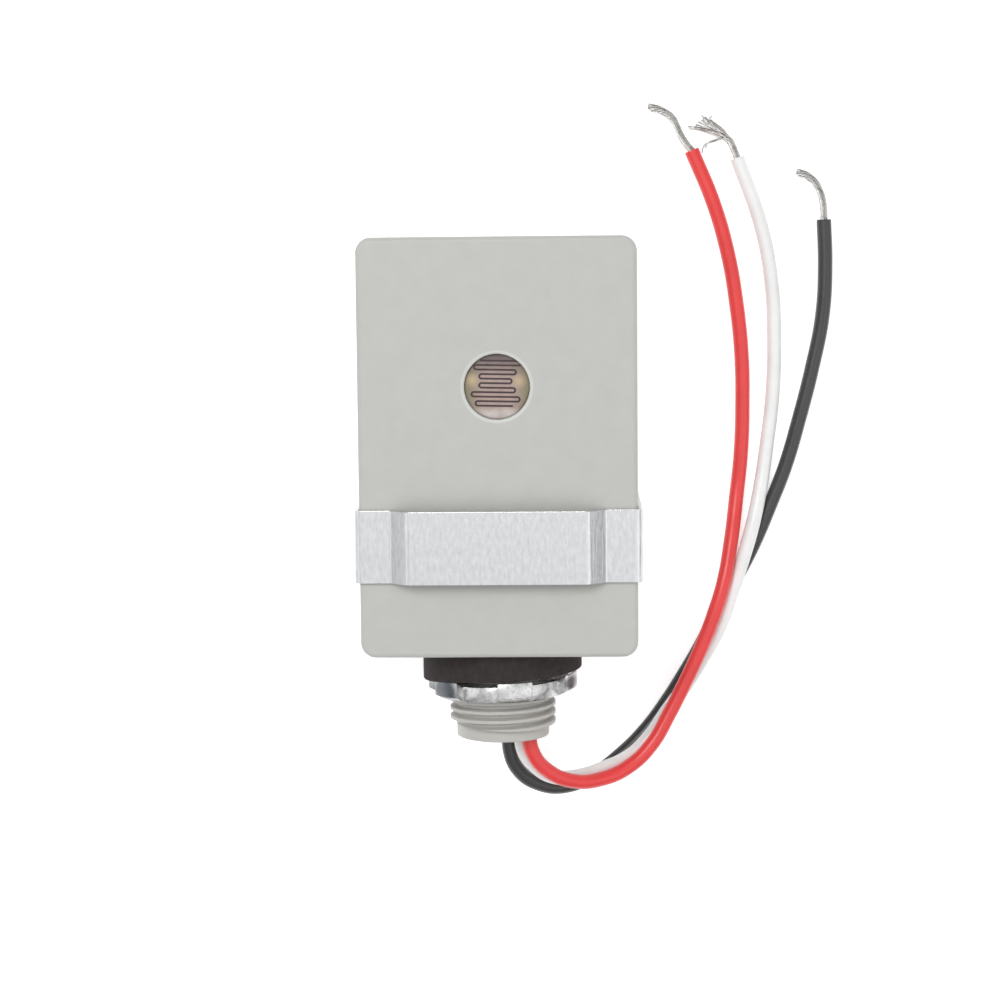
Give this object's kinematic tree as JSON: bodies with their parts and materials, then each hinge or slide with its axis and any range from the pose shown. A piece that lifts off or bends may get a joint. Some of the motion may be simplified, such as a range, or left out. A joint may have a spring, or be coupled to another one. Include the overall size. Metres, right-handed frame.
{
  "type": "photocell switch",
  "caption": "Stem-mounted dusk-to-dawn light switch: a grey box with a round cell window, a sliding metal light shield, a gasket, a locknut and three stripped leads.",
  "frame": {"origin": "centre of the flat back of the case", "axes": "+Z out of the front face with the cell, +Y from the stem to the top of the case, +X to the right when facing the cell; it lies on its back on z = 0"},
  "size_m": [0.0958, 0.1419, 0.0419],
  "materials": {
    "case_plastic": "moulded, fine satin texture",
    "cover_plastic": "moulded, satin",
    "stem_plastic": "moulded thread, satin",
    "shield_aluminium": "bright rolled sheet, faint lines",
    "gasket_rubber": "closed-cell foam",
    "plated_steel": "bright zinc plate",
    "seal_resin": "poured resin",
    "cell_film": "clear-coated film",
    "cell_line": "clear-coated dark line",
    "retainer_plastic": "moulded",
    "tinned_copper": "tinned strands",
    "board_laminate": "paper laminate",
    "strip_brass": "stamped",
    "contact_metal": "silver alloy",
    "blade_metal": "rolled two-metal strip",
    "heater_ceramic": "fired ceramic",
    "lead_black": "extruded insulation",
    "lead_white": "extruded insulation",
    "lead_red": "extruded insulation"
  },
  "bodies": {
    "housing": {"case": "case_plastic", "rear_cover": "cover_plastic", "threaded_stem": "stem_plastic", "gasket": "gasket_rubber", "lead_seal": "seal_resin", "cell_disc": "cell_film", "cell_track": "cell_line", "cell_retainer": "retainer_plastic", "cell_wires": "tinned_copper", "base_board": "board_laminate", "board_screws": "plated_steel", "line_strip": "strip_brass", "neutral_strip": "strip_brass", "load_bracket": "strip_brass", "junction_tab": "strip_brass", "strip_rivets": "strip_brass", "fixed_contact": "contact_metal", "heater_body": "heater_ceramic", "heater_caps": "tinned_copper", "heater_wires": "tinned_copper", "black_lead": "lead_black", "white_lead": "lead_white", "red_lead": "lead_red", "black_strands": "tinned_copper", "white_strands": "tinned_copper", "red_strands": "tinned_copper"},
    "shield": {"light_shield": "shield_aluminium"},
    "nut": {"locknut": "plated_steel"},
    "blade": {"bimetal_blade": "blade_metal", "moving_contact": "contact_metal"}
  },
  "joints": [
    {"name": "shield_slide", "type": "slide", "parent": "housing", "child": "shield", "axis": [0, 1, 0], "range_m": [-0.011, 0.049]},
    {"name": "nut_turn", "type": "hinge", "parent": "housing", "child": "nut", "pos_m": [0, -0.04875, 0.019], "axis": [0, -1, 0], "continuous": true},
    {"name": "blade_bend", "type": "hinge", "parent": "housing", "child": "blade", "pos_m": [0.0085, -0.00975, 0.016], "axis": [0, 0, -1], "range_deg": [0, 2.5], "stiffness_Nm_per_rad": 0.2}
  ]
}
